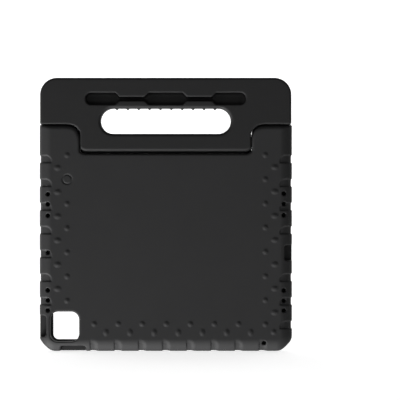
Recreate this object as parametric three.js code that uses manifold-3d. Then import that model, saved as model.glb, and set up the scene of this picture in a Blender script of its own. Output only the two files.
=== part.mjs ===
// Foam tablet case with a fold-down carry handle that doubles as a stand.
// Millimetres, +Z up. The back panel faces -Y, the screen side faces +Y, the underside is at z = 0.
import * as THREE from "three";
import { mergeVertices } from "three/addons/utils/BufferGeometryUtils.js";
import manifoldModule from "manifold-3d";

const kernel = await manifoldModule();
kernel.setup();
const { Manifold, Mesh: SolidMesh } = kernel;

// ---- overall size
const HALF_WIDTH = 153.5;
const HANDLE_HALF_WIDTH = 152.5;
const HEIGHT = 332;
const HALF_THICK = 11;
const GAP = 0.3;               // clearance between pieces that touch
const HINGE_GAP = 0.6;         // clearance all round the hinge line, along the moving seam
const SIDE_GAP = 0.3;          // clearance at the tongue's ends

// ---- foam body
const BODY_CORNER = 19.3;
const BODY_BACK_ROUND = { in: 14.5, deep: 6 };   // edge rounding: how far in from the edge, and how deep
const BODY_FRONT_ROUND = { in: 6.5, deep: 5 };

// ---- tablet bay: a 280.6 x 214.9 x 5.9 tablet, held behind a lip
const BAY = { x: 140.6, z0: 10.7, z1: 226, corner: 3, y0: 0.3, y1: 6.6 };
const SCREEN = { x: 137.3, z0: 13.9, z1: 222.4, corner: 6.5, bevel: 4.5, bevelDeep: 2.5 };
const SENSOR_RELIEF = { x: -137.3, z: 119, r: 3.6 };
const LIP_RELIEF = { x: -98.6, z: 13.9, r: 4.2 };

// ---- openings through the body
const CAMERA = { x0: -140.4, x1: -105, z0: 11.7, z1: 48.3, corner: 10, flare: 1.8 };
const CUT_BACK = -9;           // the side cut-outs run from here ...
const CUT_FRONT = 5.6;         // ... to here, and leave the front rim whole
const CUT_DEEP = 7;            // how far in the wide part of a side cut-out goes
const POWER = { z0: 17.6, z1: 43.8 };
const PORT = { z0: 110.4, z1: 129 };
const VOLUME = { x0: -128.2, x1: -96.9 };
const HOLE_D = 5.4;            // speaker and microphone holes
const HOLE_IN = 9.6;           // from the case's edge
const HOLE_END = 4.4;          // they run straight in to here, then sideways into the bay
const HOLE_SIDE_R = 1.9;
const HOLES_LEFT = [50, 62.2, 74.4, 119.9, 165, 178.9, 191];
const HOLES_RIGHT = [49.8, 61.7, 74.1, 165.4, 179.2, 191.7];
const HOLE_BOTTOM_X = 119;
const HOLE_BOTTOM_Z = 9.1;

// ---- grip notches around the edge
const NOTCH_WIDE = 9.3;
const NOTCH_DEEP = 1.3;
const NOTCH_BACK_IN = 14.6;
const NOTCH_FRONT_IN = 7.9;
const NOTCH_Z0 = 27.5;
const NOTCH_PITCH_Z = 28.75;
const NOTCH_X0 = -91.7;
const NOTCH_PITCH_X = 29.3;
const NOTCHES = 8;
const CORNER_NOTCH = { wide: 14.6, deep: 1.4 };

// ---- hinge line and the seam between body and handle
const PIVOT_Z = 255.4;
const SHOULDER_R = 20;         // shoulder tops are round about the hinge line
const SHOULDER_MIN_R = 11.5;   // and never thinner than the handle's half thickness
const SHOULDER_X = 124;        // where the shoulder starts to fall towards the pocket
const POCKET_X = 104.6;
const POCKET_FLOOR = 239.5;
const POCKET_CORNER = { wide: 9, high: 4.5 };
const TONGUE_X = POCKET_X - SIDE_GAP;
const TONGUE_R = 15.3;
const TONGUE_MIN_R = 11.2;
const TONGUE_CORNER = 8.5;

// ---- on the front half, the pocket's floor, the handle's underside and the tongue's corners
// follow the round parts that they face, so that no light shows through the seam
const FOLLOW_Y = 2;
const LEDGE_Z = 244;
const SKIRT_R = 11.6;

// ---- handle
const HANDLE_CORNER = 20.7;
const HANDLE_BACK_ROUND = { in: 2.75, deep: 2.75 };
const HANDLE_FRONT_ROUND = { in: 5.25, deep: 5.25 };
const GRIP = { x: 79, z0: 264, z1: 294.9, backRound: 3.5, frontRound: 2 };
const RIDGE_R = 1.5;
const RIDGES = 10;
const RIDGE_PITCH = 13.27;
const STYLUS = { z0: 299.3, z1: 315.6, midX: 25.8, x0: 56, x1: 97.5, y: 0.4, taper: 5, end: 6 };
const STYLUS_NECK = { z0: 304.1, z1: 309.6 };

// ---- hinge hardware on the hinge line
const ROD_D = 8;
const ROD_X = 125.9;
const BORE = ROD_D / 2 + GAP;
const FLANGE_R = 8;
const SLEEVE = { x0: 84, x1: 102.6, r: 5.8, flangeX: 103.7 };
const WASHER = { x0: 104.0, x1: 104.8, r: 7.6 };
const BUSH = { x0: 105.1, flangeX: 106.5, x1: 128, r: 6, boreX: 126.2 };
const FIN = { x0: 110, x1: 125, thick: 1.6, r: 9 };

// ---- facets
const CORNER_STEPS = 9;
const ROUND_STEPS = 6;
const TURN = 40;               // facets around the hinge parts
const HOLE_FACETS = 14;

// ======== solids from three.js geometry

function toSolid(geometry) {
  const bare = new THREE.BufferGeometry();
  bare.setAttribute("position", geometry.getAttribute("position"));
  if (geometry.index) bare.setIndex(geometry.index);
  const merged = mergeVertices(bare, 1e-4);
  const index = merged.index.array;
  const kept = [];
  for (let i = 0; i < index.length; i += 3) {
    const [a, b, c] = [index[i], index[i + 1], index[i + 2]];
    if (a !== b && b !== c && c !== a) kept.push(a, b, c);
  }
  const vertProperties = Float32Array.from(merged.getAttribute("position").array);
  return new Manifold(new SolidMesh({ numProp: 3, vertProperties, triVerts: Uint32Array.from(kept) }));
}

function toGeometry(solid) {
  const mesh = solid.getMesh();
  const points = new Float32Array(mesh.numVert * 3);
  for (let i = 0; i < mesh.numVert; i++) {
    for (let k = 0; k < 3; k++) points[3 * i + k] = mesh.vertProperties[mesh.numProp * i + k];
  }
  const geometry = new THREE.BufferGeometry();
  geometry.setAttribute("position", new THREE.BufferAttribute(points, 3));
  geometry.setIndex(Array.from(mesh.triVerts));
  const flat = geometry.toNonIndexed();
  flat.computeVertexNormals();
  return flat;
}

const add = (...solids) => solids.reduce((a, b) => a.add(b));
const cut = (solid, ...tools) => tools.reduce((a, b) => a.subtract(b), solid);

function box(x0, x1, y0, y1, z0, z1) {
  const geometry = new THREE.BoxGeometry(x1 - x0, y1 - y0, z1 - z0);
  geometry.translate((x0 + x1) / 2, (y0 + y1) / 2, (z0 + z1) / 2);
  return toSolid(geometry);
}

// A shape drawn in x and z, given thickness from y0 to y1.
function plate(points, y0, y1) {
  const shape = new THREE.Shape(points.map(([x, z]) => new THREE.Vector2(x, z)));
  const geometry = new THREE.ExtrudeGeometry(shape, { depth: y1 - y0, bevelEnabled: false });
  geometry.rotateX(Math.PI / 2);
  geometry.translate(0, y1, 0);
  return toSolid(geometry);
}

// A round solid about the hinge line, from [x, radius] points that start and end on the axis.
function turned(profile, facets = TURN) {
  const points = profile.map(([x, r]) => new THREE.Vector2(r, x));
  const geometry = new THREE.LatheGeometry(points, facets);
  geometry.rotateZ(-Math.PI / 2);
  geometry.translate(0, 0, PIVOT_Z);
  const solid = toSolid(geometry);
  return solid.volume() > 0 ? solid : toSolid(reversed(geometry));
}

function reversed(geometry) {
  const copy = geometry.clone();
  const index = Array.from(copy.index.array);
  for (let i = 0; i < index.length; i += 3) [index[i], index[i + 1]] = [index[i + 1], index[i]];
  copy.setIndex(index);
  return copy;
}

const pin = (x0, x1, r) => turned([[x0, 0], [x0, r], [x1, r], [x1, 0]]);

// A round hole or stud from one point to another.
function bar(from, to, r, facets = HOLE_FACETS) {
  const a = new THREE.Vector3(...from);
  const b = new THREE.Vector3(...to);
  const geometry = new THREE.CylinderGeometry(r, r, a.distanceTo(b), facets);
  const turn = new THREE.Quaternion();
  turn.setFromUnitVectors(new THREE.Vector3(0, 1, 0), b.clone().sub(a).normalize());
  geometry.applyQuaternion(turn);
  geometry.translate((a.x + b.x) / 2, (a.y + b.y) / 2, (a.z + b.z) / 2);
  return toSolid(geometry);
}

// The outline of a rectangle with round corners, moved inwards by inset.
function roundedOutline({ x0, x1, z0, z1, r }, inset = 0) {
  const radius = Math.max(r - inset, 0.05);
  const corners = [
    [x1 - inset - radius, z1 - inset - radius, 0],
    [x0 + inset + radius, z1 - inset - radius, 90],
    [x0 + inset + radius, z0 + inset + radius, 180],
    [x1 - inset - radius, z0 + inset + radius, 270],
  ];
  return corners.flatMap(([cx, cz, start]) =>
    Array.from({ length: CORNER_STEPS + 1 }, (_, i) => {
      const angle = THREE.MathUtils.degToRad(start + (90 * i) / CORNER_STEPS);
      return [cx + radius * Math.cos(angle), cz + radius * Math.sin(angle)];
    }));
}

// A solid through a stack of rounded outlines, each { y, inset }, from back to front.
function loft(rectangle, levels) {
  const rings = levels.map(({ y, inset }) =>
    roundedOutline(rectangle, inset).map(([x, z]) => [x, y, z]));
  const n = rings[0].length;
  const index = [];
  for (let level = 0; level + 1 < rings.length; level++) {
    for (let i = 0; i < n; i++) {
      const [a, b] = [level * n + i, level * n + ((i + 1) % n)];
      index.push(a, b, b + n, a, b + n, a + n);
    }
  }
  const last = (rings.length - 1) * n;
  for (let i = 1; i + 1 < n; i++) {
    index.push(0, i + 1, i);
    index.push(last, last + i, last + i + 1);
  }
  const geometry = new THREE.BufferGeometry();
  geometry.setAttribute("position", new THREE.Float32BufferAttribute(rings.flat(2), 3));
  geometry.setIndex(index);
  const solid = toSolid(geometry);
  return solid.volume() > 0 ? solid : toSolid(reversed(geometry));
}

// Levels for a slab whose edges are rounded by different radii on its back and front.
function roundedLevels(back, front, steps = ROUND_STEPS) {
  const levels = [];
  for (let i = 0; i <= steps; i++) {
    const a = (Math.PI / 2) * (i / steps);
    levels.push({ y: -HALF_THICK + back.deep * (1 - Math.cos(a)), inset: back.in * (1 - Math.sin(a)) });
  }
  for (let i = 0; i <= steps; i++) {
    const a = (Math.PI / 2) * (i / steps);
    levels.push({ y: HALF_THICK - front.deep * (1 - Math.sin(a)), inset: front.in * (1 - Math.cos(a)) });
  }
  return levels;
}

// Levels for a hole whose two rims are rounded outwards.
function flaredLevels(back, front, steps = 4) {
  const rim = (place) => Array.from({ length: steps + 1 }, (_, i) => place((Math.PI / 2) * (i / steps)));
  return [
    { y: -HALF_THICK - 1, inset: -back },
    ...rim((a) => ({ y: -HALF_THICK + back * Math.sin(a), inset: -back * (1 - Math.sin(a)) })),
    ...rim((a) => ({ y: HALF_THICK - front * Math.cos(a), inset: -front * (1 - Math.cos(a)) })),
    { y: HALF_THICK + 1, inset: -front },
  ];
}

const mirrored = (solid) => solid.mirror([1, 0, 0]);

// ======== the seam between body and handle

const quarter = (n, place) => Array.from({ length: n + 1 }, (_, i) => place((Math.PI / 2) * (i / n)));

// The shoulder's radius about the hinge line falls on an ellipse towards the pocket, and stops
// falling where it reaches its least radius.
function shoulderFall(sideGap, gap) {
  const wide = SHOULDER_X - POCKET_X + sideGap;
  const least = SHOULDER_MIN_R + gap;
  const start = Math.asin(least / (SHOULDER_R + gap));
  const steps = 7;
  const curve = Array.from({ length: steps + 1 }, (_, i) => {
    const a = start + ((Math.PI / 2 - start) * i) / steps;
    return [SHOULDER_X - wide * Math.cos(a), (SHOULDER_R + gap) * Math.sin(a)];
  });
  return [[POCKET_X - sideGap, least], ...curve];
}

function shoulder(sideGap = 0, gap = 0) {
  const fall = shoulderFall(sideGap, gap);
  const end = HALF_WIDTH + 5;
  return turned([[POCKET_X - sideGap, 0], ...fall, [end, SHOULDER_R + gap], [end, 0]], 72);
}

// The tongue's foot, round about the hinge line, with an elliptic corner at each end.
function roundFoot(gap = 0) {
  const corner = quarter(6, (a) => [
    TONGUE_X - POCKET_CORNER.wide * (1 - Math.sin(a)),
    TONGUE_MIN_R + (TONGUE_R - TONGUE_MIN_R) * Math.cos(a) + gap,
  ]);
  if (gap) corner.push([TONGUE_X + gap, TONGUE_MIN_R + gap]);
  const right = [...corner, [TONGUE_X + gap, 0]];
  return turned([...right.map(([x, r]) => [-x, r]).reverse(), ...right], 72);
}

// Pocket in the body for the handle's tongue, drawn from its floor's left end round to the right.
function pocketOutline() {
  const corner = quarter(6, (a) => [
    POCKET_X - POCKET_CORNER.wide * (1 - Math.sin(a)),
    POCKET_FLOOR + POCKET_CORNER.high * (1 - Math.cos(a)),
  ]);
  const right = [...corner, [POCKET_X, HEIGHT]];
  return [...right, ...right.map(([x, z]) => [-x, z]).reverse()];
}

// Handle and tongue in outline, below the handle's own top.
function handleOutline() {
  const tongue = quarter(6, (a) => [
    TONGUE_X - TONGUE_CORNER * (1 - Math.sin(a)),
    PIVOT_Z - TONGUE_R + TONGUE_CORNER * (1 - Math.cos(a)),
  ]);
  const fall = shoulderFall(SIDE_GAP, HINGE_GAP).map(([x, r]) => [x, PIVOT_Z + r]);
  const right = [...tongue, ...fall, [HALF_WIDTH + 5, PIVOT_Z + SHOULDER_R + HINGE_GAP]];
  const outline = [...right, [HALF_WIDTH + 5, HEIGHT + 5]];
  return [...outline, ...outline.map(([x, z]) => [-x, z]).reverse()];
}

// ======== grip notches

// A block that leaves the edge's rounded section NOTCH_DEEP lower. Drawn across the edge in
// (out, y), where out is the distance outwards from the middle of the case.
function notchSection(edge) {
  const [b, f] = [BODY_BACK_ROUND, BODY_FRONT_ROUND];
  const back = quarter(ROUND_STEPS, (a) => [
    edge - b.in + (b.in - NOTCH_DEEP) * Math.sin(a),
    -HALF_THICK + b.deep - (b.deep - NOTCH_DEEP) * Math.cos(a),
  ]);
  const front = quarter(ROUND_STEPS - 2, (a) => [
    edge - f.in + (f.in - NOTCH_DEEP) * Math.cos(a),
    HALF_THICK - f.deep + (f.deep - NOTCH_DEEP) * Math.sin(a),
  ]);
  const start = [edge - NOTCH_BACK_IN, -HALF_THICK + NOTCH_DEEP];
  const end = [edge - NOTCH_FRONT_IN, HALF_THICK - NOTCH_DEEP];
  return [
    [edge - NOTCH_BACK_IN, -HALF_THICK - 2], start, ...back, ...front, end,
    [edge - NOTCH_FRONT_IN, HALF_THICK + 2], [edge + 4, HALF_THICK + 2], [edge + 4, -HALF_THICK - 2],
  ];
}

// The section run along the edge by NOTCH_WIDE: up a side wall, or along the bottom.
function notch(edge) {
  const shape = new THREE.Shape(notchSection(edge).map(([out, y]) => new THREE.Vector2(out, y)));
  return new THREE.ExtrudeGeometry(shape, { depth: NOTCH_WIDE, bevelEnabled: false });
}

function sideNotch(z) {
  const geometry = notch(HALF_WIDTH);
  geometry.translate(0, 0, z);
  return toSolid(geometry);
}

function bottomNotch(x) {
  const geometry = notch(0);
  geometry.rotateY(Math.PI / 2);
  geometry.translate(x, 0, 0);
  return toSolid(geometry);
}

function cornerNotch() {
  const { wide, deep } = CORNER_NOTCH;
  const at = (BODY_CORNER * (Math.SQRT2 - 1) + deep) / Math.SQRT2;
  const geometry = new THREE.BoxGeometry(wide + 4, 2 * HALF_THICK + 4, 20);
  geometry.translate(0, 0, -10);
  geometry.rotateY(-Math.PI / 4);
  geometry.translate(HALF_WIDTH - at, 0, at);
  return toSolid(geometry);
}

// ======== foam body

function makeBody() {
  const outline = { x0: -HALF_WIDTH, x1: HALF_WIDTH, z0: 0, z1: HEIGHT + 40, r: BODY_CORNER };
  const blank = loft(outline, roundedLevels(BODY_BACK_ROUND, BODY_FRONT_ROUND));
  const lower = cut(
    box(-HALF_WIDTH - 5, HALF_WIDTH + 5, -20, 20, -5, PIVOT_Z),
    plate(pocketOutline(), -20, 20));
  const rightShoulder = shoulder();
  const ledge = cut(
    box(-POCKET_X - 1, POCKET_X + 1, FOLLOW_Y, 20, POCKET_FLOOR - 1, LEDGE_Z),
    roundFoot(HINGE_GAP));
  let body = blank.intersect(add(lower, ledge, rightShoulder, mirrored(rightShoulder)));

  // tablet bay, screen opening with its bevelled lip, and the two reliefs in the lip
  const bay = { x0: -BAY.x, x1: BAY.x, z0: BAY.z0, z1: BAY.z1, r: BAY.corner };
  const screen = { x0: -SCREEN.x, x1: SCREEN.x, z0: SCREEN.z0, z1: SCREEN.z1, r: SCREEN.corner };
  body = cut(
    body,
    loft(bay, [{ y: BAY.y0, inset: 0 }, { y: BAY.y1, inset: 0 }]),
    loft(screen, [
      { y: BAY.y1 - 1, inset: 0 }, { y: HALF_THICK - SCREEN.bevelDeep, inset: 0 },
      { y: HALF_THICK, inset: -SCREEN.bevel }, { y: HALF_THICK + 1, inset: -SCREEN.bevel },
    ]),
    ...[SENSOR_RELIEF, LIP_RELIEF].map(({ x, z, r }) =>
      bar([x, BAY.y1 - 1, z], [x, HALF_THICK + 2, z], r, 20)));

  // camera window
  const camera = { x0: CAMERA.x0, x1: CAMERA.x1, z0: CAMERA.z0, z1: CAMERA.z1, r: CAMERA.corner };
  body = cut(body, loft(camera, [
    { y: -HALF_THICK - 1, inset: -CAMERA.flare },
    { y: -HALF_THICK, inset: -CAMERA.flare },
    { y: -HALF_THICK + 0.5, inset: -CAMERA.flare * 0.45 },
    { y: -HALF_THICK + CAMERA.flare, inset: 0 },
    { y: BAY.y0 + 1, inset: 0 },
  ]));

  // power button, charging port and volume buttons
  const inner = BAY.y0 + 0.5;
  const edge = HALF_WIDTH + 5;
  body = cut(
    body,
    box(-edge, -HALF_WIDTH + CUT_DEEP, CUT_BACK, CUT_FRONT, POWER.z0, POWER.z1),
    box(-edge, -BAY.x + 1, inner, CUT_FRONT, POWER.z0, POWER.z1),
    box(HALF_WIDTH - CUT_DEEP, edge, CUT_BACK + 2, CUT_FRONT, PORT.z0, PORT.z1),
    box(BAY.x - 1, edge, inner, CUT_FRONT, PORT.z0, PORT.z1),
    box(VOLUME.x0, VOLUME.x1, CUT_BACK, CUT_FRONT, -5, CUT_DEEP - 0.5),
    box(VOLUME.x0, VOLUME.x1, inner, CUT_FRONT, -5, BAY.z0 + 1));

  // speaker and microphone holes: straight in from the back, then sideways into the bay
  const out = HALF_WIDTH - HOLE_IN;
  const sideY = HOLE_END - HOLE_SIDE_R;
  const holes = (x, z, inX, inZ) => [
    bar([x, -HALF_THICK - 1, z], [x, HOLE_END, z], HOLE_D / 2),
    bar([x, sideY, z], [inX, sideY, inZ], HOLE_SIDE_R),
  ];
  body = cut(
    body,
    ...HOLES_LEFT.flatMap((z) => holes(-out, z, -BAY.x + 1, z)),
    ...HOLES_RIGHT.flatMap((z) => holes(out, z, BAY.x - 1, z)),
    ...holes(HOLE_BOTTOM_X, HOLE_BOTTOM_Z, HOLE_BOTTOM_X, BAY.z0 + 1));

  // grip notches
  const steps = Array.from({ length: NOTCHES }, (_, i) => i);
  const rightNotches = steps.filter((i) => i !== 3).map((i) => sideNotch(NOTCH_Z0 + NOTCH_PITCH_Z * i));
  const leftNotches = steps.filter((i) => i !== 0)
    .map((i) => mirrored(sideNotch(NOTCH_Z0 + NOTCH_PITCH_Z * i)));
  const bottomNotches = steps.map((i) => bottomNotch(NOTCH_X0 + NOTCH_PITCH_X * i));
  body = cut(body, ...rightNotches, ...leftNotches, ...bottomNotches);
  body = cut(body, cornerNotch(), mirrored(cornerNotch()));

  // seats for the hinge bushes and washers
  const seat = add(
    pin(POCKET_X - 1, BUSH.flangeX + GAP, FLANGE_R + GAP),
    pin(BUSH.flangeX, BUSH.x1 + GAP, BUSH.r + GAP),
    box(FIN.x0 - GAP, FIN.x1 + GAP, -FIN.thick / 2 - GAP, FIN.thick / 2 + GAP,
      PIVOT_Z - FIN.r - GAP, PIVOT_Z + FIN.r + GAP));
  return cut(body, seat, mirrored(seat));
}

// ======== handle

function stylusGroove() {
  const { z0, z1, midX, x0, x1, taper, end } = STYLUS;
  const neck = STYLUS_NECK;
  const endCorner = quarter(5, (a) => [x1 - end + end * Math.sin(a), z0 + end - end * Math.cos(a)]);
  const endTop = quarter(5, (a) => [x1 - end + end * Math.cos(a), z1 - end + end * Math.sin(a)]);
  const lowerEdge = [[midX - taper, z0], [midX, neck.z0], [x0, neck.z0], [x0 + taper, z0], ...endCorner];
  const upperEdge = [...endTop, [x0 + taper, z1], [x0, neck.z1], [midX, neck.z1], [midX - taper, z1]];
  const right = [...lowerEdge, ...upperEdge];
  const left = right.map(([x, z]) => [-x, z]).reverse();
  return plate([...right, ...left], -HALF_THICK - 1, STYLUS.y);
}

function makeHandle() {
  const outline = { x0: -HANDLE_HALF_WIDTH, x1: HANDLE_HALF_WIDTH, z0: 150, z1: HEIGHT, r: HANDLE_CORNER };
  const blank = loft(outline, roundedLevels(HANDLE_BACK_ROUND, HANDLE_FRONT_ROUND));
  const keep = add(roundFoot(), box(-HALF_WIDTH - 5, HALF_WIDTH + 5, -20, 20, PIVOT_Z, HEIGHT + 5));
  const skirt = cut(
    box(TONGUE_X, HALF_WIDTH + 4, FOLLOW_Y, 20, PIVOT_Z + SKIRT_R, PIVOT_Z + SHOULDER_R + 2),
    shoulder(SIDE_GAP, HINGE_GAP));
  const fullCorner = box(-TONGUE_X, TONGUE_X, FOLLOW_Y, 20, PIVOT_Z - TONGUE_R - 1, PIVOT_Z + 1);
  const shape = add(plate(handleOutline(), -20, 20), skirt, mirrored(skirt), fullCorner);
  let handle = blank.intersect(shape).intersect(keep);

  // finger slot with rounded rims, and the small ridges under its top edge
  const mid = (GRIP.z1 - GRIP.z0) / 2;
  const slot = { x0: -GRIP.x, x1: GRIP.x, z0: GRIP.z0, z1: GRIP.z1, r: mid };
  handle = cut(handle, loft(slot, flaredLevels(GRIP.backRound, GRIP.frontRound)));
  const ridges = Array.from({ length: RIDGES }, (_, i) => {
    const x = (i - (RIDGES - 1) / 2) * RIDGE_PITCH;
    return bar([x, -HALF_THICK + 5, GRIP.z1], [x, HALF_THICK - 3, GRIP.z1], RIDGE_R, 12);
  });
  handle = add(handle, ...ridges);

  const seat = add(
    pin(SLEEVE.x1 - GAP, TONGUE_X + 1, FLANGE_R + GAP),
    pin(SLEEVE.x0 - GAP, SLEEVE.x1, SLEEVE.r + GAP));
  const bore = pin(-SLEEVE.x0, SLEEVE.x0, BORE);
  return cut(handle, stylusGroove(), seat, mirrored(seat), bore);
}

// ======== hinge hardware

const makeRod = () => turned([
  [-ROD_X, 0], [-ROD_X, ROD_D / 2 - 0.8], [-ROD_X + 0.8, ROD_D / 2],
  [ROD_X - 0.8, ROD_D / 2], [ROD_X, ROD_D / 2 - 0.8], [ROD_X, 0]]);

const makeSleeve = () => turned([
  [SLEEVE.x0, BORE], [SLEEVE.x0, SLEEVE.r], [SLEEVE.x1, SLEEVE.r],
  [SLEEVE.x1, FLANGE_R], [SLEEVE.flangeX, FLANGE_R], [SLEEVE.flangeX, BORE], [SLEEVE.x0, BORE]]);

const makeWasher = () => turned([
  [WASHER.x0, BORE], [WASHER.x0, WASHER.r], [WASHER.x1, WASHER.r], [WASHER.x1, BORE], [WASHER.x0, BORE]]);

// Blind bush with a flange, and a fin on two sides that stops it turning in the foam.
function makeBush() {
  const barrel = turned([
    [BUSH.x0, BORE], [BUSH.x0, FLANGE_R], [BUSH.flangeX, FLANGE_R], [BUSH.flangeX, BUSH.r],
    [BUSH.x1, BUSH.r], [BUSH.x1, 0], [BUSH.boreX, 0], [BUSH.boreX, BORE], [BUSH.x0, BORE]]);
  const fin = (side) => {
    const [z0, z1] = [BUSH.r - 0.8, FIN.r].map((z) => side * z).sort((a, b) => a - b);
    return box(FIN.x0, FIN.x1, -FIN.thick / 2, FIN.thick / 2, PIVOT_Z + z0, PIVOT_Z + z1);
  };
  return add(barrel, fin(1), fin(-1));
}

// ======== assembly

const FOAM = { color: 0x2a2a2b, roughness: 0.85, metalness: 0 };
const NYLON = { color: 0x1c1c1e, roughness: 0.5, metalness: 0 };
const FIBRE = { color: 0x262422, roughness: 0.7, metalness: 0 };

const PIECES = [
  ["case_body", makeBody(), FOAM],
  ["handle", makeHandle(), FOAM],
  ["hinge_rod", makeRod(), NYLON],
  ["hinge_sleeve_right", makeSleeve(), NYLON],
  ["hinge_sleeve_left", mirrored(makeSleeve()), NYLON],
  ["hinge_bush_right", makeBush(), NYLON],
  ["hinge_bush_left", mirrored(makeBush()), NYLON],
  ["friction_washer_right", makeWasher(), FIBRE],
  ["friction_washer_left", mirrored(makeWasher()), FIBRE],
];

const assembly = new THREE.Group();
assembly.name = "tablet_case";
for (const [name, solid, finish] of PIECES) {
  const mesh = new THREE.Mesh(toGeometry(solid), new THREE.MeshStandardMaterial(finish));
  mesh.name = name;
  assembly.add(mesh);
}

export default assembly;
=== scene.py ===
"""Looks for a foam tablet case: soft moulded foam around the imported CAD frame, light and floor."""
import math

import bpy
import numpy as np
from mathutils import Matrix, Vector


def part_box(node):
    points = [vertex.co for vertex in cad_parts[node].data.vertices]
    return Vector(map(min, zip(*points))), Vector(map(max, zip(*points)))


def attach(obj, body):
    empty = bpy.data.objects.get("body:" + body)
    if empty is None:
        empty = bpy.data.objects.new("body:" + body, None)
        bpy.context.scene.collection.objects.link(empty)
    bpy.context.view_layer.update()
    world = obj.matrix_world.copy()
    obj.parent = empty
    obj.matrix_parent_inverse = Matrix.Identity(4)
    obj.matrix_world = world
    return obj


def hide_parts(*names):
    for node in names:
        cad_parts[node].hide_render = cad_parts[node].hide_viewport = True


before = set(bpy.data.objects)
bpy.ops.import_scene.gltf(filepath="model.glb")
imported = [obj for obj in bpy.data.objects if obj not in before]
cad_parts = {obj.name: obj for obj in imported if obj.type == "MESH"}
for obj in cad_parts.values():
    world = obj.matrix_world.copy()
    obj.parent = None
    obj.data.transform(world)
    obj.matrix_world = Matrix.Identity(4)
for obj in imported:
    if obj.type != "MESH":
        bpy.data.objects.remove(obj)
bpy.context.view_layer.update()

# ---- what the CAD frame says, in millimetres
MM = 1000.0
body_low, body_high = (np.array(v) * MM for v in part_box("case_body"))
grip_low, grip_high = (np.array(v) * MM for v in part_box("handle"))
rod_low, rod_high = (np.array(v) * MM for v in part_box("hinge_rod"))
HALF = body_high[0]
GRIP_HALF = grip_high[0]
BACK, FRONT = body_low[1], body_high[1]
TOP = grip_high[2]
PIVOT = (rod_low[2] + rod_high[2]) / 2
TONGUE_Z = grip_low[2]

STEP = 0.72     # spacing of the sampling grid across and up
STEP_Y = 0.5    # ... and through the thickness


# ======== solid shapes as signed distances: negative inside

def round_and(a, b, r):
    """Where a and b overlap, with their shared edge rounded by r."""
    outside = np.sqrt(np.maximum(a + r, 0) ** 2 + np.maximum(b + r, 0) ** 2)
    return np.minimum(-r, np.maximum(a, b)) + outside


def round_or(a, b, r):
    """a and b together, with a fillet of radius r between them."""
    return -round_and(-a, -b, r)


def rectangle(x, z, x0, x1, z0, z1, r):
    qx = np.abs(x - (x0 + x1) / 2) - (x1 - x0) / 2 + r
    qz = np.abs(z - (z0 + z1) / 2) - (z1 - z0) / 2 + r
    return np.hypot(np.maximum(qx, 0), np.maximum(qz, 0)) + np.minimum(np.maximum(qx, qz), 0) - r


def ellipse(u, v, a, b, power=2.0):
    """Close to the distance from an ellipse about the origin, for u and v above 0.

    A power under 2 flattens it towards a straight bevel, and one over 2 squares it up.
    """
    size = ((u / a) ** power + (v / b) ** power) ** (1 / power)
    slope = size ** (1 - power) * np.hypot((u / a) ** (power - 1) / a, (v / b) ** (power - 1) / b)
    return (size - 1) / slope


def round_edge(outline, face, inward, deep, power=2.0):
    """outline and face together, with an elliptic rounding that reaches inward and deep."""
    u, v = outline + inward, face + deep
    corner = ellipse(np.maximum(u, 1e-2), np.maximum(v, 1e-2), inward, deep, power)
    return np.where((u > 0) & (v > 0), corner, np.maximum(outline, face))


def fade(distance, width):
    """1 well inside, 0 well outside, turning smoothly over width."""
    t = np.clip(0.5 - distance / width, 0, 1)
    return t * t * (3 - 2 * t)


class Grid:
    """A block of sample points, whose field can be edited near a place alone."""

    def __init__(self, low, high):
        pad = 3
        steps = (STEP, STEP_Y, STEP)
        self.axes = [
            np.arange(lo - pad * s, hi + pad * s + s, s, dtype=np.float32)
            for lo, hi, s in zip(low, high, steps)
        ]
        self.x = self.axes[0][:, None, None]
        self.y = self.axes[1][None, :, None]
        self.z = self.axes[2][None, None, :]
        self.field = None

    def near(self, x0, x1, z0, z1, change):
        """Replaces the field in a window by change(field, x, y, z)."""
        i = slice(*np.searchsorted(self.axes[0], (x0, x1)))
        k = slice(*np.searchsorted(self.axes[2], (z0, z1)))
        part = self.field[i, :, k]
        self.field[i, :, k] = change(part, self.x[i], self.y, self.z[:, :, k])


# ======== a closed mesh around a field

CORNERS = [(i, j, k) for i in (0, 1) for j in (0, 1) for k in (0, 1)]
EDGES = [
    (a, b) for a in CORNERS for b in CORNERS
    if sum(b) - sum(a) == 1 and sum(p != q for p, q in zip(a, b)) == 1
]


def surface_points(field, cells, axes):
    """One point in each cell that the surface crosses: the mean of its crossings."""
    total = np.zeros((len(cells), 3))
    count = np.zeros((len(cells), 1))
    for a, b in EDGES:
        ia, ib = cells + a, cells + b
        va, vb = field[tuple(ia.T)], field[tuple(ib.T)]
        crossed = ((va < 0) != (vb < 0))[:, None]
        t = np.clip(va / np.where(va == vb, 1, va - vb), 0, 1)[:, None]
        pa = np.stack([axes[d][ia[:, d]] for d in range(3)], 1)
        pb = np.stack([axes[d][ib[:, d]] for d in range(3)], 1)
        total += np.where(crossed, pa + t * (pb - pa), 0)
        count += crossed
    return total / np.maximum(count, 1)


def sample(field, axes, points):
    """The field and its slope at points, from the eight samples around each."""
    cell, part = [], []
    for d in range(3):
        step = axes[d][1] - axes[d][0]
        at = (points[:, d] - axes[d][0]) / step
        low = np.clip(at.astype(int), 0, len(axes[d]) - 2)
        cell.append(low)
        part.append(at - low)
    value = np.zeros(len(points))
    slope = np.zeros((len(points), 3))
    for corner in CORNERS:
        v = field[tuple(cell[d] + corner[d] for d in range(3))]
        weight = [part[d] if corner[d] else 1 - part[d] for d in range(3)]
        value += v * weight[0] * weight[1] * weight[2]
        for d in range(3):
            others = [weight[e] for e in range(3) if e != d]
            sign = 1 if corner[d] else -1
            slope[:, d] += sign * v * others[0] * others[1] / (axes[d][1] - axes[d][0])
    return value, slope


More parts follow.
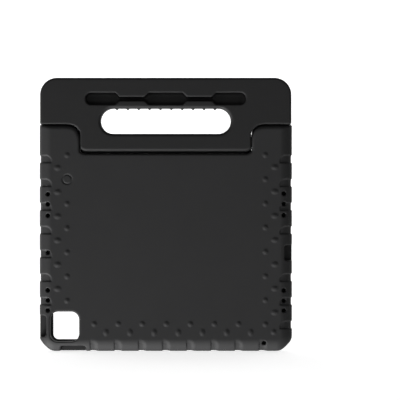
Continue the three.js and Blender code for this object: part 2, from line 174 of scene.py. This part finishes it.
def mesh_around(name, grid, keep):
    """Quads around the field's zero, thinned to a share of them where the shape is flat."""
    field, axes = grid.field, grid.axes
    inside = field < 0
    whole = tuple(n - 1 for n in inside.shape)
    count = sum(
        inside[i:i + whole[0], j:j + whole[1], k:k + whole[2]].astype(np.int8) for i, j, k in CORNERS)
    active = (count > 0) & (count < 8)
    cells = np.argwhere(active)
    number = np.full(whole, -1, np.int32)
    number[active] = np.arange(len(cells))
    points = surface_points(field, cells, axes)
    for _ in range(2):
        value, slope = sample(field, axes, points)
        points -= 0.8 * (value / np.maximum((slope**2).sum(1), 0.2))[:, None] * slope

    quads = []
    for d in range(3):
        e, f = (d + 1) % 3, (d + 2) % 3
        start, end = [slice(1, -1)] * 3, [slice(1, -1)] * 3
        start[d], end[d] = slice(0, -1), slice(1, None)
        a, b = inside[tuple(start)], inside[tuple(end)]
        base = np.argwhere(a != b)
        out = a[tuple(base.T)]
        base[:, e] += 1
        base[:, f] += 1
        ring = []
        for de, df in ((-1, -1), (0, -1), (0, 0), (-1, 0)):
            at = base.copy()
            at[:, e] += de
            at[:, f] += df
            ring.append(number[tuple(at.T)])
        ring = np.stack(ring, 1)
        ring[~out] = ring[~out][:, ::-1]
        quads.append(ring)
    quads = np.concatenate(quads)

    mesh = bpy.data.meshes.new(name)
    mesh.vertices.add(len(points))
    mesh.vertices.foreach_set("co", (points / MM).ravel())
    mesh.loops.add(quads.size)
    mesh.loops.foreach_set("vertex_index", quads.ravel())
    mesh.polygons.add(len(quads))
    mesh.polygons.foreach_set("loop_start", np.arange(0, quads.size, 4))
    mesh.update(calc_edges=True)
    obj = bpy.data.objects.new(name, mesh)
    bpy.context.scene.collection.objects.link(obj)
    thin = obj.modifiers.new("thin", "DECIMATE")
    thin.ratio = keep
    evaluated = obj.evaluated_get(bpy.context.evaluated_depsgraph_get())
    obj.data = bpy.data.meshes.new_from_object(evaluated)
    obj.modifiers.clear()
    obj.data.shade_smooth()
    weigh = obj.modifiers.new("normals", "WEIGHTED_NORMAL")
    weigh.weight = 60
    return obj


# ======== the seam between body and handle

GAP = 0.3                      # clearance at the tongue's ends
HINGE_GAP = 0.6                # clearance all round the hinge line
FOLLOW_Y = 2.0                 # in front of here the seam is round about the hinge line
POCKET_X = 104.6
POCKET_FLOOR = 239.5
POCKET_CORNER = {"wide": 9.0, "high": 4.5}
FOOT_R = PIVOT - TONGUE_Z
FOOT_CORNER_DEEP = 4.1
SHOULDER = {"x": 124.0, "least": 11.5, "high": 20.0, "power": 3.0}


def shoulder_distance(side, height, gap=(0, 0), corner=2.0):
    """From the shoulder's outline, given the distance from the middle and height over the hinge."""
    wide = SHOULDER["x"] - POCKET_X + gap[0]
    tall = SHOULDER["high"] + gap[1]
    inward = np.maximum(SHOULDER["x"] - side, 1e-2)
    fall = ellipse(inward, np.maximum(height, 1e-3), wide, tall, SHOULDER["power"])
    top = np.where(side < SHOULDER["x"], fall, height - tall)
    post = round_and(SHOULDER["x"] - wide - side, height - SHOULDER["least"] - gap[1], corner)
    return round_or(top, post, 2.5)


def foot_distance(side, radius, gap=0.0):
    """From the tongue's foot, which is round about the hinge line and has an elliptic corner."""
    end = side - (POCKET_X - GAP)
    return round_edge(end, radius - FOOT_R, POCKET_CORNER["wide"], FOOT_CORNER_DEEP) - gap


# ======== foam body

SEAM_SOFT = 2.4                # rounding of the body's edges along the seam
EAR_CORNER = {"y": (-7, -3), "r": (4.5, 0.5)}   # the shoulder's inner corner is softer at the back
BODY_CORNER = 19.3
CORNER_FLAT = {"deep": 1.2, "soft": 2.2}
BACK_ROUND = (14.5, 11.0, 1.75)                 # inward, deep and power
FRONT_ROUND = (6.5, 5.0)
BAY = (-140.6, 140.6, 10.7, 226, 12)            # x0, x1, z0, z1 and corner radius
BAY_Y = (0.3, 6.6)
SCREEN = (-137.3, 137.3, 13.9, 222.4, 6.5)
LIP_ROUND = 3.6
RELIEFS = ((-137.3, 119, 3.6), (-98.6, 13.9, 4.2))     # x, z and radius
LENS_WINDOW = (-140.4, -105, 11.7, 48.3, 10)
WINDOW_RIM = 2.2

OUTSIDE = 160                  # a place clear of the case
CUT_Y = (-12, 5.6)             # a side cut-out's wide part, from outside the back to the front rim
REACH_Y = (0.8, 5.6)           # its narrow part, through the wall to the bay
CUTS = (                       # x0, x1, z0, z1, corner radius, y range and soft rim
    (-OUTSIDE, -144.6, 17.6, 43.8, 3.5, CUT_Y, 0.8),
    (-OUTSIDE, -139.6, 17.8, 43.6, 2.0, REACH_Y, 0.5),
    (143.6, OUTSIDE, 110.4, 129, 2.5, CUT_Y, 0.8),
    (139.6, OUTSIDE, 110.6, 128.8, 2.0, REACH_Y, 0.5),
    (-128.2, -96.9, -8, 7.0, 3.5, CUT_Y, 0.8),
    (-128.0, -97.1, -8, 11.7, 2.0, REACH_Y, 0.5),
)

HOLE = {"r": 2.7, "end": 4.4, "rim": 0.55}      # straight in from the back ...
HOLE_SIDE = {"r": 1.9, "y": 2.5, "long": 5}     # ... then sideways into the bay
SPEAKERS_LEFT = (-142.9, (50, 62.2, 74.4, 119.9, 165, 178.9, 191))
SPEAKERS_RIGHT = (143.3, (49.8, 61.7, 74.1, 165.4, 179.2, 191.7))
MICROPHONE = (119.3, 10.3)

NOTCHES = 8
NOTCH_WIDE = 9.2
NOTCH_ROUND = 7.0
SIDE_NOTCH = {"deep": 1.15, "z0": 27.5, "pitch": 28.75, "inner": (138.6, 145.1)}
BOTTOM_NOTCH = {"deep": 0.8, "x0": -91.7, "pitch": 29.3, "inner": (7.9, 14.4)}
NO_NOTCH_RIGHT = 3             # the charging port is there
NO_NOTCH_LEFT = 0              # the power button is there

BUMP = {"r": 5.6, "high": 0.95, "blend": 0.5, "reach": 7}
BUMPS_ROUND = (
    [(130.9, 23.6)]
    + [(-119.6, z) for z in (61.6, 91, 120.2, 149.5, 179.1, 238)]
    + [(120.8, z) for z in (33.1, 62.2, 91.2, 120.8, 150.3, 179.3, 208.8, 238.2)]
    + [(-86.8 + 29.2 * i, 33.4) for i in range(7)]
)
BUMPS_WIDE = (
    [(-131.1, 76 + 29.34 * i) for i in range(6)]
    + [(132.2, z) for z in (47.3, 76.3, 105.6, 135.3, 164.5, 193.9, 223.4)]
)
BUMPS_TALL = [(-72.4 + 29.25 * i, 23) for i in range(7)]
RING = {"x": -119.5, "z": 208.8, "r": 5.6, "deep": 0.8}


def add_bump(grid, x, z, wide=1.0, tall=1.0):
    def dome(field, px, py, pz):
        u, v = (px - x) / wide, (pz - z) / tall
        centre = BACK - BUMP["high"] + BUMP["r"]
        ball = np.sqrt(u**2 + v**2 + (py - centre) ** 2) - BUMP["r"]
        return round_or(field, ball, BUMP["blend"])
    across, up = BUMP["reach"] * wide, BUMP["reach"] * tall
    grid.near(x - across, x + across, z - up, z + up, dome)


def add_ring(grid):
    """A shallow round groove in the back."""
    x, z, reach = RING["x"], RING["z"], RING["r"] + 3.4

    def groove(field, px, py, pz):
        from_line = np.abs(np.hypot(px - x, pz - z) - RING["r"])
        return np.where(py < 0, field + RING["deep"] * fade(from_line - 0.6, 1.6), field)
    grid.near(x - reach, x + reach, z - reach, z + reach, groove)


def add_side_notch(grid, side, z):
    """A recess round the edge: crisp at its foot, and round at the top of its inner end."""
    low, high = SIDE_NOTCH["inner"]

    def recess(field, px, py, pz):
        inner = np.clip(low + (py + 3) * 0.75, low, high)
        upper = round_and(pz - (z + NOTCH_WIDE), inner - side * px, NOTCH_ROUND)
        return field + SIDE_NOTCH["deep"] * fade(upper, 1.7) * fade(z - pz, 0.8)
    x0, x1 = sorted((side * 134.0, side * OUTSIDE))
    grid.near(x0, x1, z - 2, z + 13, recess)


def add_bottom_notch(grid, x):
    """The same recess in the bottom edge, crisp at its left and soft at its right."""
    low, high = BOTTOM_NOTCH["inner"]

    def recess(field, px, py, pz):
        inner = np.clip(high - (py + 3) * 0.75, low, high)
        right = round_and(px - (x + NOTCH_WIDE), pz - inner, NOTCH_ROUND)
        return field + BOTTOM_NOTCH["deep"] * fade(right + 1.8, 6.0) * fade(x - px, 0.8)
    grid.near(x - 2, x + 13, -5, 20, recess)


def cut_side(grid, x0, x1, z0, z1, corner, y_range, soft):
    y0, y1 = y_range

    def carve(field, px, py, pz):
        across = rectangle(px, pz, x0, x1, z0, z1, corner)
        through = np.abs(py - (y0 + y1) / 2) - (y1 - y0) / 2
        return round_and(field, -round_and(across, through, 0.8), soft)
    grid.near(x0 - 4, x1 + 4, z0 - 4, z1 + 4, carve)


def drill_hole(grid, x, z, dx, dz):
    """A hole in from the back at x, z, then along dx, dz into the bay."""
    def drill(field, px, py, pz):
        u, v = px - x, pz - z
        straight = np.maximum(np.hypot(u, v) - HOLE["r"], py - HOLE["end"])
        along = u * dx + v * dz
        aside = np.hypot(u * dz - v * dx, py - HOLE_SIDE["y"]) - HOLE_SIDE["r"]
        aside = np.maximum(aside, np.maximum(-along, along - HOLE_SIDE["long"]))
        return round_and(field, -np.minimum(straight, aside), HOLE["rim"])
    grid.near(x - 10, x + 10, z - 10, z + 10, drill)


def body_shell(x, y, z):
    """The body's outer shape, with its rounded edges and a flat on each bottom corner."""
    outline = rectangle(x, z, -HALF, HALF, 0, 400, BODY_CORNER)
    back = round_edge(outline, BACK - y, *BACK_ROUND)
    solid = np.maximum(back, round_edge(outline, y - FRONT, *FRONT_ROUND))
    diagonal = (np.abs(x) - z) / math.sqrt(2)
    corner_at = (HALF - 2 * BODY_CORNER) / math.sqrt(2) + BODY_CORNER
    flat = diagonal - (corner_at - CORNER_FLAT["deep"])
    return round_and(solid, flat + 0 * y, CORNER_FLAT["soft"])


def body_top(side, y, z):
    """The shoulders, round about the hinge line, and the pocket between them for the tongue."""
    radius = np.hypot(y, z - PIVOT)
    height = np.where(z > PIVOT, radius, z - PIVOT)
    softer_at_back = np.interp(y, EAR_CORNER["y"], EAR_CORNER["r"])
    shoulder = shoulder_distance(side, height, corner=softer_at_back)
    wide, high = POCKET_CORNER["wide"], POCKET_CORNER["high"]
    pocket = round_edge(side - POCKET_X, POCKET_FLOOR - z, wide, high)
    foot = foot_distance(side, radius, HINGE_GAP)
    ledge = np.maximum(np.maximum(-foot, z - POCKET_FLOOR - high), FOLLOW_Y - y)
    pocket = np.maximum(pocket, -ledge)
    above = shoulder * (side > POCKET_X - 60) - 1e3 * (z < PIVOT)
    return np.maximum(above, -pocket)


def open_front(field, x, y, z):
    """Cuts the tablet bay and the screen opening with its soft lip and reliefs."""
    bay = np.maximum(rectangle(x, z, *BAY), np.maximum(BAY_Y[0] - y, y - BAY_Y[1]))
    field = round_and(field, -bay, 0.5)
    first, second = (np.hypot(x - px, z - pz) - r for px, pz, r in RELIEFS)
    screen = round_or(rectangle(x, z, *SCREEN), np.minimum(first, second), 0.8)
    lip = np.minimum(round_and(-screen, y - FRONT, LIP_ROUND), y - 5.6)
    return np.maximum(field, lip)


def cut_lens_window(field, x, y, z):
    window = rectangle(x, z, *LENS_WINDOW)
    return np.maximum(field, np.minimum(round_and(-window, BACK - y, WINDOW_RIM), 1.3 - y))


def make_body():
    grid = Grid(body_low, body_high)
    x, y, z = grid.x, grid.y, grid.z
    shell = body_shell(x, y, z)
    grid.field = round_and(shell, body_top(np.abs(x), y, z), SEAM_SOFT).astype(np.float32)

    for i in range(NOTCHES):
        if i != NO_NOTCH_RIGHT:
            add_side_notch(grid, 1, SIDE_NOTCH["z0"] + SIDE_NOTCH["pitch"] * i)
        if i != NO_NOTCH_LEFT:
            add_side_notch(grid, -1, SIDE_NOTCH["z0"] + SIDE_NOTCH["pitch"] * i)
        add_bottom_notch(grid, BOTTOM_NOTCH["x0"] + BOTTOM_NOTCH["pitch"] * i)
    for px, pz in BUMPS_ROUND:
        add_bump(grid, px, pz)
    for px, pz in BUMPS_WIDE:
        add_bump(grid, px, pz, wide=1.35)
    for px, pz in BUMPS_TALL:
        add_bump(grid, px, pz, tall=1.3)
    add_ring(grid)

    grid.field = open_front(grid.field, x, y, z).astype(np.float32)
    grid.near(-148, -98, 4, 56, cut_lens_window)
    for cut in CUTS:
        cut_side(grid, *cut)
    for (px, rows), inward in ((SPEAKERS_LEFT, 1), (SPEAKERS_RIGHT, -1)):
        for pz in rows:
            drill_hole(grid, px, pz, inward, 0)
    drill_hole(grid, *MICROPHONE, 0, 1)
    return mesh_around("foam_body", grid, 0.28)


# ======== foam handle

GRIP_CORNER = 20.7
GRIP_BACK_ROUND = 2.9
GRIP_FRONT_ROUND = 5.25
TONGUE_CORNER = 8.5
TONGUE_FULL_Y = -4.5           # in front of here the tongue's corners are square
SKIRT_LOW = 11.6               # the skirt over each shoulder ends this far above the hinge line
UNDERSIDE_SOFT = {"side": (106, 114), "r": (2.2, 1.1)}
FOOT_SOFT = 0.9
FINGER_SLOT = {"x": 63.55, "z": 279.45, "r": 15.45, "back": 3.6, "front": 2.4}
RIDGES = 10
RIDGE = {"pitch": 13.27, "z": 294.9, "r": 1.5, "y": 1, "half": 7.5}
STYLUS = {"high": 7.4, "neck": 2.45, "z": 306.7, "end": 97.3, "corner": 6.8, "deep_y": 0.6}
STYLUS_STEPS = (0, 20.8, 25.8, 56, 61, 140)     # where the pockets narrow and widen again


def handle_underside(side, y, z):
    """What lies above the shoulders, with the tongue between them."""
    gaps = (GAP, HINGE_GAP)
    flat = shoulder_distance(side, z - PIVOT, gaps)
    curved = shoulder_distance(side, np.hypot(y, z - PIVOT), gaps)
    skirt = np.maximum(np.maximum(-curved, PIVOT + SKIRT_LOW - z), FOLLOW_Y - y)
    below = round_and(-flat, TONGUE_Z - z, TONGUE_CORNER)
    block = np.maximum(np.maximum(side - POCKET_X + GAP, z - PIVOT), TONGUE_FULL_Y - y)
    return np.minimum(np.minimum(below, skirt), block)


def tongue_foot(side, y, z):
    """The foot, drawn in where it would only shave the tongue's ends."""
    radius = np.hypot(y, z - PIVOT)
    foot = foot_distance(side, radius) - FOOT_SOFT * fade(radius - 10.5, 1.4)
    return np.where(z < PIVOT, foot, -20)


def stylus_groove(side, y, z):
    """Three pockets joined by two narrow necks."""
    high, neck = STYLUS["high"], STYLUS["neck"]
    half = np.interp(side, STYLUS_STEPS, (high, high, neck, neck, high, high))
    middle = STYLUS["z"] - 0.25 * (high - half) / 5
    across = (np.abs(z - middle) - half) * np.where(half < high - 0.05, 0.82, 1.0)
    groove = round_and(across, side - STYLUS["end"], STYLUS["corner"])
    return round_and(groove + 0 * y, y - STYLUS["deep_y"], 4.5)


def make_handle():
    grid = Grid(grip_low, grip_high)
    x, y, z = grid.x, grid.y, grid.z
    side = np.abs(x)
    outline = rectangle(x, z, -GRIP_HALF, GRIP_HALF, 150, TOP, GRIP_CORNER)
    back = round_and(outline, BACK - y, GRIP_BACK_ROUND)
    solid = np.maximum(back, round_and(outline, y - FRONT, GRIP_FRONT_ROUND))
    soft = np.interp(side, UNDERSIDE_SOFT["side"], UNDERSIDE_SOFT["r"])
    field = round_and(solid, handle_underside(side, y, z), soft)
    field = round_and(field, tongue_foot(side, y, z), FOOT_SOFT)

    # finger slot with rounded rims, and the ridges under its top edge
    across = np.maximum(side - FINGER_SLOT["x"], 0)
    slot = np.hypot(across, z - FINGER_SLOT["z"]) - FINGER_SLOT["r"]
    back_rim = round_and(-slot, BACK - y, FINGER_SLOT["back"])
    field = np.maximum(field, np.maximum(back_rim, round_and(-slot, y - FRONT, FINGER_SLOT["front"])))
    ends = np.abs(y - RIDGE["y"]) - RIDGE["half"]
    for i in range(RIDGES):
        middle = (i - (RIDGES - 1) / 2) * RIDGE["pitch"]
        ridge = np.hypot(x - middle, (z - RIDGE["z"]) * 0.9) - RIDGE["r"]
        field = round_or(field, np.maximum(ridge, ends), 0.7)

    grid.field = round_and(field, -stylus_groove(side, y, z), 1.2).astype(np.float32)
    return mesh_around("foam_handle", grid, 0.3)


# ======== materials

def principled(name, color, roughness, **values):
    """A new material and its shader, with the shader inputs that values name."""
    material = bpy.data.materials.new(name)
    material.use_nodes = True
    shader = material.node_tree.nodes["Principled BSDF"]
    shader.inputs["Base Color"].default_value = (*color, 1)
    shader.inputs["Roughness"].default_value = roughness
    for key, value in values.items():
        shader.inputs[key.replace("_", " ")].default_value = value
    return material, shader


def grain(material, shader, scale, rough, height, cells=0.0):
    """Fine surface grain: it varies the roughness and raises small bumps, in cells where asked."""
    nodes, links = material.node_tree.nodes, material.node_tree.links
    place = nodes.new("ShaderNodeTexCoord")
    fine = nodes.new("ShaderNodeTexNoise")
    fine.inputs["Scale"].default_value = scale
    fine.inputs["Detail"].default_value = 3
    links.new(place.outputs["Object"], fine.inputs["Vector"])
    spread = nodes.new("ShaderNodeMapRange")
    spread.inputs["To Min"].default_value = rough[0]
    spread.inputs["To Max"].default_value = rough[1]
    links.new(fine.outputs["Fac"], spread.inputs["Value"])
    links.new(spread.outputs["Result"], shader.inputs["Roughness"])
    high = fine.outputs["Fac"]
    if cells:
        cell = nodes.new("ShaderNodeTexVoronoi")
        cell.inputs["Scale"].default_value = cells
        links.new(place.outputs["Object"], cell.inputs["Vector"])
        both = nodes.new("ShaderNodeMath")
        both.operation = "ADD"
        links.new(cell.outputs["Distance"], both.inputs[0])
        links.new(high, both.inputs[1])
        high = both.outputs["Value"]
    bump = nodes.new("ShaderNodeBump")
    bump.inputs["Strength"].default_value = 0.3
    bump.inputs["Distance"].default_value = height
    links.new(high, bump.inputs["Height"])
    links.new(bump.outputs["Normal"], shader.inputs["Normal"])


def mottle(material, shader, color, scale, low, high):
    """A broad, faint unevenness of the colour."""
    nodes, links = material.node_tree.nodes, material.node_tree.links
    place = nodes.new("ShaderNodeTexCoord")
    broad = nodes.new("ShaderNodeTexNoise")
    broad.inputs["Scale"].default_value = scale
    broad.inputs["Detail"].default_value = 2
    links.new(place.outputs["Object"], broad.inputs["Vector"])
    tint = nodes.new("ShaderNodeMix")
    tint.data_type = "RGBA"
    tint.inputs[6].default_value = (*(low * c for c in color), 1)
    tint.inputs[7].default_value = (*(high * c for c in color), 1)
    links.new(broad.outputs["Fac"], tint.inputs[0])
    links.new(tint.outputs[2], shader.inputs["Base Color"])


def foam_material(name, color, shine):
    """Black moulded foam: matte, with a fine closed-cell grain."""
    material, shader = principled(name, color, 0.6, Specular_IOR_Level=shine)
    grain(material, shader, 1100, (0.5, 0.72), 0.00006, cells=1500)
    mottle(material, shader, color, 28, 0.9, 1.1)
    return material


def nylon_material():
    """Smooth moulded nylon, faintly uneven from the mould."""
    color = (0.03, 0.03, 0.032)
    material, shader = principled("nylon", color, 0.42)
    grain(material, shader, 500, (0.34, 0.5), 0.00003)
    mottle(material, shader, color, 60, 0.85, 1.15)
    return material


def fibre_material():
    """Pressed fibre: rough and speckled."""
    color = (0.022, 0.02, 0.019)
    material, shader = principled("fibre", color, 0.8)
    grain(material, shader, 2400, (0.7, 0.95), 0.00012, cells=900)
    mottle(material, shader, color, 900, 0.5, 1.7)
    return material


def dress(obj, material):
    obj.data.materials.clear()
    obj.data.materials.append(material)


foam = foam_material("foam", (0.0081, 0.0081, 0.0084), 0.2)
# The handle is the same black foam as the body. Its colour is painted darker to stand for the dimmer
# light at the top of the case: painted shade.
shaded_handle_foam = foam_material("shaded_handle_foam", (0.0048, 0.0048, 0.005), 0.2)
nylon = nylon_material()
fibre = fibre_material()

body = make_body()
dress(body, foam)
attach(body, "case")
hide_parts("case_body")

handle = make_handle()
dress(handle, shaded_handle_foam)
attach(handle, "carry_handle")
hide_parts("handle")

for name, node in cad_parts.items():
    if name not in ("case_body", "handle"):
        dress(node, fibre if "washer" in name else nylon)

# ======== floor, light and camera

def area_light(name, at, toward, size, power):
    data = bpy.data.lights.new(name, "AREA")
    data.energy = power
    data.shape = "SQUARE"
    data.size = size
    light = bpy.data.objects.new(name, data)
    light.location = at
    light.rotation_euler = (Vector(toward) - Vector(at)).to_track_quat("-Z", "Y").to_euler()
    bpy.context.scene.collection.objects.link(light)


def stage_mesh(name, verts, faces, color, roughness, glow):
    """A glowing piece of the studio."""
    mesh = bpy.data.meshes.new(name)
    mesh.from_pydata(verts, [], faces)
    mesh.shade_smooth()
    obj = bpy.data.objects.new(name, mesh)
    bpy.context.scene.collection.objects.link(obj)
    material, _ = principled(
        name, color, roughness, Emission_Color=(1, 1, 1, 1), Emission_Strength=glow)
    dress(obj, material)
    return obj


def make_backdrop():
    """A glowing pale floor that sweeps up into a wall behind, as on a light table."""
    half, front, back, radius, top = 5.0, -6.0, 2.9, 0.9, 5.0
    profile = [(front, 0.0), (back, 0.0)]
    for a in np.linspace(0.1, math.pi / 2, 12):
        profile.append((back + radius * math.sin(a), radius - radius * math.cos(a)))
    profile.append((back + radius, top))
    verts = [(x, y, z) for x in (-half, half) for y, z in profile]
    n = len(profile)
    faces = [(i, i + n, i + n + 1, i + 1) for i in range(n - 1)]
    obj = stage_mesh("backdrop", verts, faces, (0.8, 0.8, 0.8), 0.9, 0.7)
    obj.location.z = -0.0005
    obj.visible_shadow = False      # the light below the table shines through it


def make_surround():
    """A white drum round the whole studio, which lights nothing: it is there for the other views."""
    n, radius, floor, top = 64, 9.0, -0.02, 9.0
    angles = np.linspace(0, 2 * math.pi, n, endpoint=False)
    rings = [(0.5, floor), (radius, floor), (radius, top)]
    verts = [(r * math.cos(a), r * math.sin(a), z) for r, z in rings for a in angles]
    faces = [
        (k * n + i, k * n + (i + 1) % n, (k + 1) * n + (i + 1) % n, (k + 1) * n + i)
        for k in range(len(rings) - 1) for i in range(n)
    ]
    obj = stage_mesh("surround", verts, faces, (0, 0, 0), 1.0, 0.97)
    obj.visible_diffuse = obj.visible_glossy = obj.visible_shadow = False


make_backdrop()
make_surround()
world = bpy.data.worlds.new("studio")
bpy.context.scene.world = world
world.use_nodes = True
sky = world.node_tree.nodes["Background"]
sky.inputs["Color"].default_value = (1, 1, 1, 1)
sky.inputs["Strength"].default_value = 0.25
area_light("below_left", (-1.05, -0.6, -1.55), (0, 0, 0.15), 1.0, 148)
area_light("front_left", (-1.9, -1.2, 0.5), (0, 0, 0.17), 1.2, 9)
area_light("behind_left", (-1.5, 1.2, 0.25), (0, 0, 0.15), 0.9, 10)

camera = bpy.data.objects.new("camera", bpy.data.cameras.new("camera"))
bpy.context.scene.collection.objects.link(camera)
bpy.context.scene.camera = camera
DISTANCE = 2.5                 # from the back of the case, in metres
VIEW_WIDTH = 0.4848            # what the picture takes in at the back of the case
camera.location = (0.0416, BACK / MM - DISTANCE, 0.1837)
camera.rotation_euler = (math.pi / 2, 0, 0)
camera.data.sensor_width = 36
camera.data.lens = camera.data.sensor_width * DISTANCE / VIEW_WIDTH
bpy.context.scene.view_settings.view_transform = "Standard"
